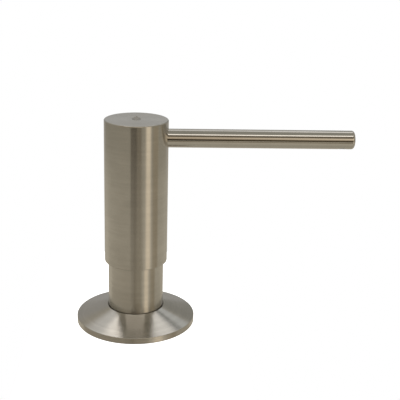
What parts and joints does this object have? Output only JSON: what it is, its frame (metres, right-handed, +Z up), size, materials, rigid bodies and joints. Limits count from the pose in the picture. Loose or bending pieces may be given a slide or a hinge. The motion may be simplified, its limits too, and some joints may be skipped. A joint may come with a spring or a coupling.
{
  "type": "soap pump dispenser",
  "caption": "Deck-mounted soap pump dispenser: round press-down head with a straight side spout on a collar and cone base, threaded shank with clamp nut, pump engine and bottle below.",
  "frame": {"origin": "pump axis at the top of the worktop, in the plane of the base gasket's underside", "axes": "+Z up along the pump axis, +X along the spout at rest, +Y to the back of the spout's left-hand side"},
  "size_m": [0.1221, 0.062, 0.2616],
  "materials": {
    "brushed_nickel": "fine brushed, round the axis",
    "satin_spout": "finely polished along the tube",
    "threaded_brass": "turned, satin",
    "zinc_steel": "zinc-plated, satin",
    "black_rubber": "matt",
    "nut_plastic": "moulded glass-filled nylon, fine grain",
    "core_plastic": "moulded acetal, smooth",
    "pump_plastic": "moulded polypropylene, translucent white",
    "seal_rubber": "smooth",
    "liner_plastic": "extruded polyethylene, clear white",
    "nozzle_plastic": "moulded, smooth",
    "spring_steel": "drawn stainless wire",
    "ball_steel": "polished stainless",
    "bottle_plastic": "blow-moulded polyethylene, natural white, semi-matt"
  },
  "bodies": {
    "base": {"escutcheon": "brushed_nickel", "base_gasket": "black_rubber", "shank": "threaded_brass", "collar": "brushed_nickel"},
    "clamp_washers": {"rubber_washer": "black_rubber", "steel_washer": "zinc_steel"},
    "nut": {"mounting_nut": "nut_plastic"},
    "bottle_washer": {"bottle_seal": "seal_rubber"},
    "bottle": {"bottle": "bottle_plastic"},
    "pump_body": {"pump_closure": "pump_plastic", "closure_gasket": "seal_rubber", "guide_bush": "core_plastic", "pump_cylinder": "pump_plastic", "ball_cage": "core_plastic", "return_spring": "spring_steel", "dip_tube": "liner_plastic"},
    "plunger": {"stem": "core_plastic", "piston": "pump_plastic", "piston_seal": "liner_plastic"},
    "head": {"head_shell": "brushed_nickel", "head_insert": "core_plastic", "stem_o_ring": "seal_rubber", "spout_tube": "satin_spout", "spout_liner": "liner_plastic", "liner_seal": "seal_rubber", "outlet_elbow": "nozzle_plastic", "outlet_nozzle": "nozzle_plastic"},
    "inlet_ball": {"inlet_ball": "ball_steel"},
    "outlet_ball": {"outlet_ball": "ball_steel"}
  },
  "joints": [
    {"name": "nut_travel", "type": "slide", "parent": "base", "child": "clamp_washers", "axis": [0, 0, 1], "range_m": [-0.01351, 0.01651]},
    {"name": "nut_spin", "type": "hinge", "parent": "clamp_washers", "child": "nut", "pos_m": [0, 0, -0.0275], "axis": [0, 0, 1], "range_deg": [-3240, 3960]},
    {"name": "bottle_lower", "type": "slide", "parent": "base", "child": "bottle_washer", "axis": [0, 0, -1], "range_m": [0, 0.01351]},
    {"name": "bottle_spin", "type": "hinge", "parent": "bottle_washer", "child": "bottle", "pos_m": [0, 0, -0.06], "axis": [0, 0, -1], "range_deg": [0, 3240]},
    {"name": "refill_lift", "type": "slide", "parent": "base", "child": "pump_body", "axis": [0, 0, 1], "range_m": [0, 0.026]},
    {"name": "pump_press", "type": "slide", "parent": "pump_body", "child": "plunger", "axis": [0, 0, -1], "range_m": [0, 0.012], "stiffness_N_per_m": 600, "springref_m": -0.008, "deforming": ["return_spring"]},
    {"name": "spout_swivel", "type": "hinge", "parent": "plunger", "child": "head", "pos_m": [0, 0, 0.0715], "axis": [0, 0, 1], "continuous": true},
    {"name": "inlet_ball_lift", "type": "slide", "parent": "pump_body", "child": "inlet_ball", "axis": [0, 0, 1], "range_m": [0, 0.0018]},
    {"name": "outlet_ball_lift", "type": "slide", "parent": "plunger", "child": "outlet_ball", "axis": [0, 0, 1], "range_m": [0, 0.001]}
  ],
  "couplings": [
    {"joint": "nut_travel", "follows": "nut_spin", "m_per_rad": 0.00023873},
    {"joint": "bottle_lower", "follows": "bottle_spin", "m_per_rad": 0.00023873}
  ]
}
